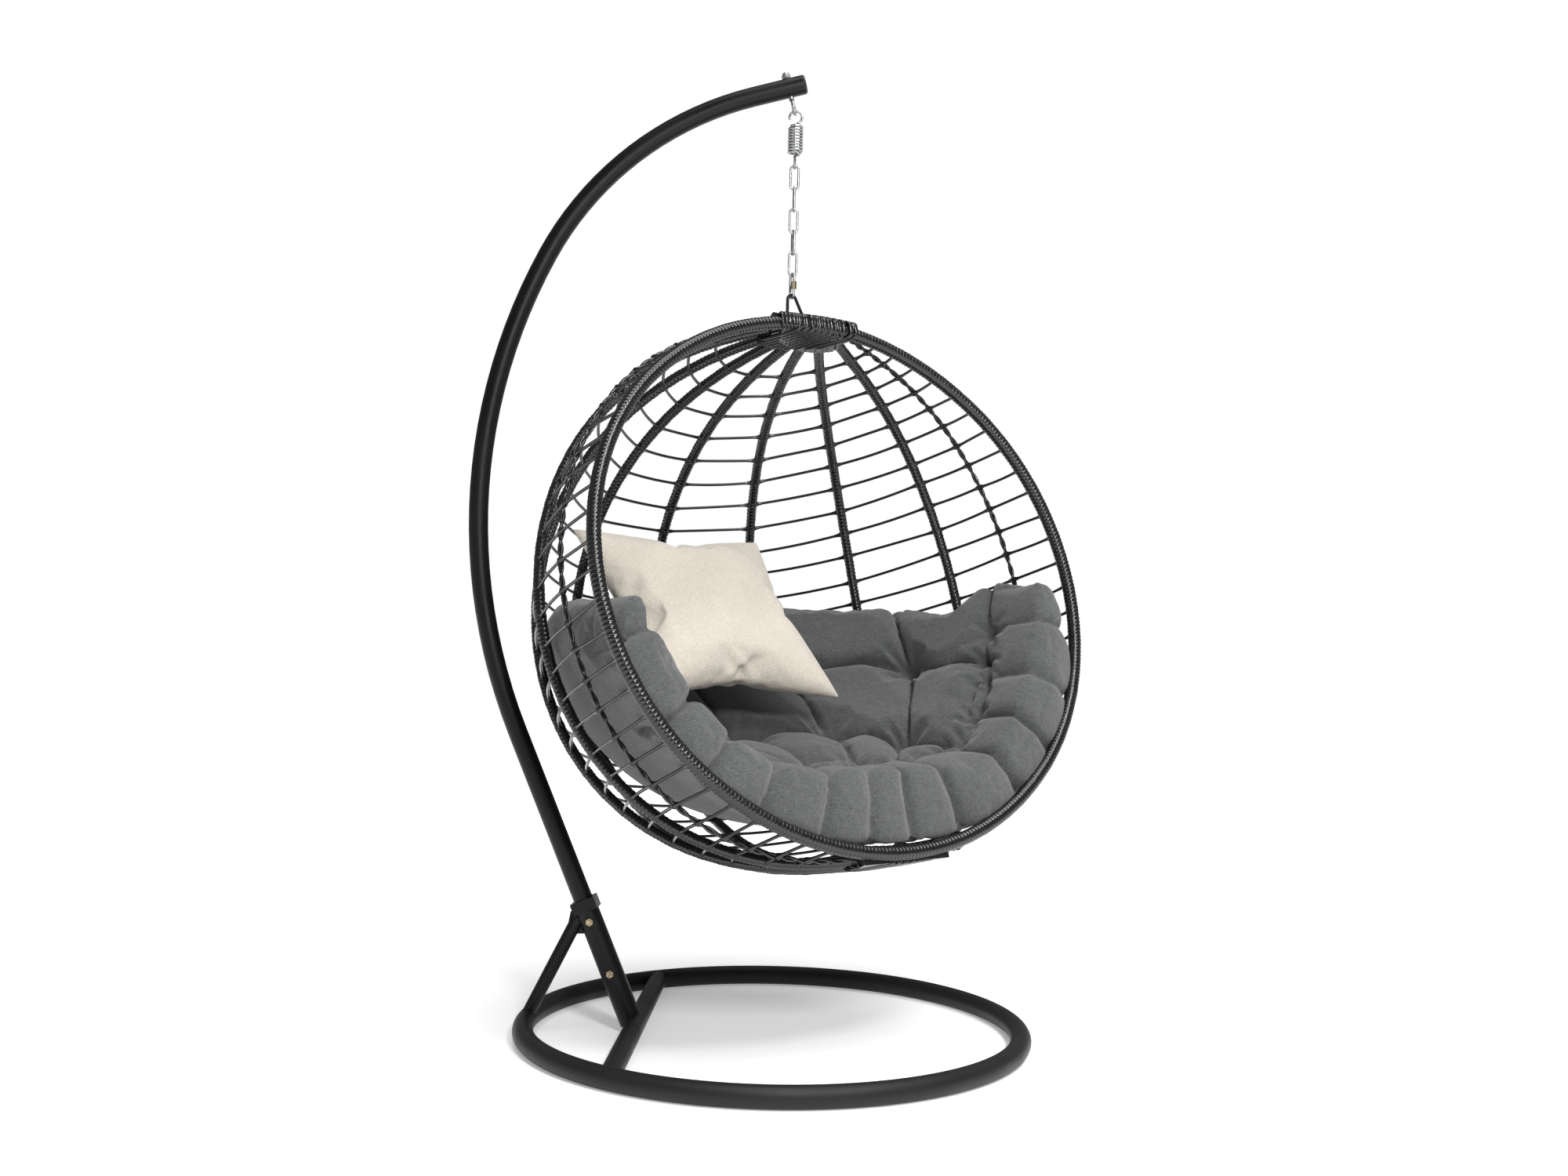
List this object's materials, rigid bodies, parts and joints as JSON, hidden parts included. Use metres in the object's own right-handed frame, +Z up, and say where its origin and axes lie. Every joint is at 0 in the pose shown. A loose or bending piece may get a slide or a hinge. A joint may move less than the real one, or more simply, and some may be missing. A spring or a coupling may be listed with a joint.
{
  "type": "hanging egg chair",
  "caption": "Wicker egg-shaped basket chair with a tufted seat cushion and a scatter pillow, hung by a spring and chain from a curved tubular stand on a ring base.",
  "frame": {"origin": "on the floor at the centre of the base ring", "axes": "+Z up; the stand lies in the YZ plane with its pole at +Y, so a sitter who faces straight out of the stand looks along -Y"},
  "size_m": [1.0896, 1.2468, 1.909],
  "materials": {
    "ring_paint": "satin powder coat",
    "stand_paint": "satin",
    "cap_plastic": "matte",
    "yellow_zinc": "satin",
    "bright_zinc": "satin",
    "hanger_paint": "satin",
    "frame_paint": "satin",
    "wicker": "gloss",
    "cushion_fabric": "matte",
    "pillow_fabric": "matte"
  },
  "bodies": {
    "stand": {"base_ring": "ring_paint", "base_crossbar": "ring_paint", "pole_socket": "stand_paint", "socket_brace": "stand_paint", "pole": "stand_paint", "pole_end_cap": "cap_plastic", "socket_bolts": "yellow_zinc", "socket_nuts": "yellow_zinc", "eye_bolt": "bright_zinc", "eye_bolt_nut": "bright_zinc"},
    "spring": {"hang_spring": "bright_zinc"},
    "link_1": {"chain_link_1": "bright_zinc"},
    "link_2": {"chain_link_2": "bright_zinc"},
    "link_3": {"chain_link_3": "bright_zinc"},
    "link_4": {"chain_link_4": "bright_zinc"},
    "link_5": {"chain_link_5": "bright_zinc"},
    "quick_link": {"quick_link": "bright_zinc"},
    "sleeve": {"quick_link_sleeve": "yellow_zinc"},
    "basket": {"hanger_loop": "hanger_paint", "rim_hoop": "frame_paint", "rim_wrap": "wicker", "hub_top": "wicker", "hub_bottom": "wicker", "rib_1": "frame_paint", "rib_2": "frame_paint", "rib_3": "frame_paint", "rib_4": "frame_paint", "rib_5": "frame_paint", "rib_6": "frame_paint", "rib_7": "frame_paint", "rib_wrap_1": "wicker", "rib_wrap_2": "wicker", "rib_wrap_3": "wicker", "rib_wrap_4": "wicker", "rib_wrap_5": "wicker", "rib_wrap_6": "wicker", "rib_wrap_7": "wicker", "side_cane_left": "wicker", "side_cane_right": "wicker", "weave_1": "wicker", "weave_2": "wicker", "weave_3": "wicker", "weave_4": "wicker", "weave_5": "wicker", "weave_6": "wicker", "weave_7": "wicker", "weave_8": "wicker", "weave_9": "wicker", "weave_10": "wicker", "seat_cushion": "cushion_fabric", "scatter_pillow": "pillow_fabric"}
  },
  "joints": [
    {"name": "swing_fore_aft", "type": "hinge", "parent": "stand", "child": "spring", "pos_m": [0, -0.0064, 1.8264], "axis": [-1, 0, 0], "range_deg": [-2.5, 15]},
    {"name": "spring_stretch", "type": "slide", "parent": "spring", "child": "link_1", "axis": [0, 0, -1], "range_m": [-0.006, 0.03], "stiffness_N_per_m": 40000, "springref_m": -0.006, "deforming": ["hang_spring"]},
    {"name": "swing_sideways", "type": "hinge", "parent": "link_1", "child": "link_2", "pos_m": [0, -0.0064, 1.6735], "axis": [0, 1, 0], "range_deg": [-12, 12]},
    {"name": "chain_twist_upper", "type": "hinge", "parent": "link_2", "child": "link_3", "pos_m": [0, -0.0064, 1.6299], "axis": [0, 0, 1], "range_deg": [-35, 23]},
    {"name": "chain_pivot_fore_aft", "type": "hinge", "parent": "link_3", "child": "link_4", "pos_m": [0, -0.0064, 1.5863], "axis": [1, 0, 0], "range_deg": [-4, 4]},
    {"name": "chain_twist_lower", "type": "hinge", "parent": "link_4", "child": "link_5", "pos_m": [0, -0.0064, 1.5427], "axis": [0, 0, 1], "range_deg": [-35, 24]},
    {"name": "chain_pivot_sideways", "type": "hinge", "parent": "link_5", "child": "quick_link", "pos_m": [0, -0.0064, 1.4991], "axis": [0, -1, 0], "range_deg": [-4, 4]},
    {"name": "basket_swivel", "type": "hinge", "parent": "quick_link", "child": "basket", "pos_m": [0, -0.0064, 1.4553], "axis": [0, 0, 1], "range_deg": [-30, 15]},
    {"name": "quick_link_sleeve_travel", "type": "slide", "parent": "quick_link", "child": "sleeve", "axis": [0, 0, 1], "range_m": [0, 0.008]}
  ]
}
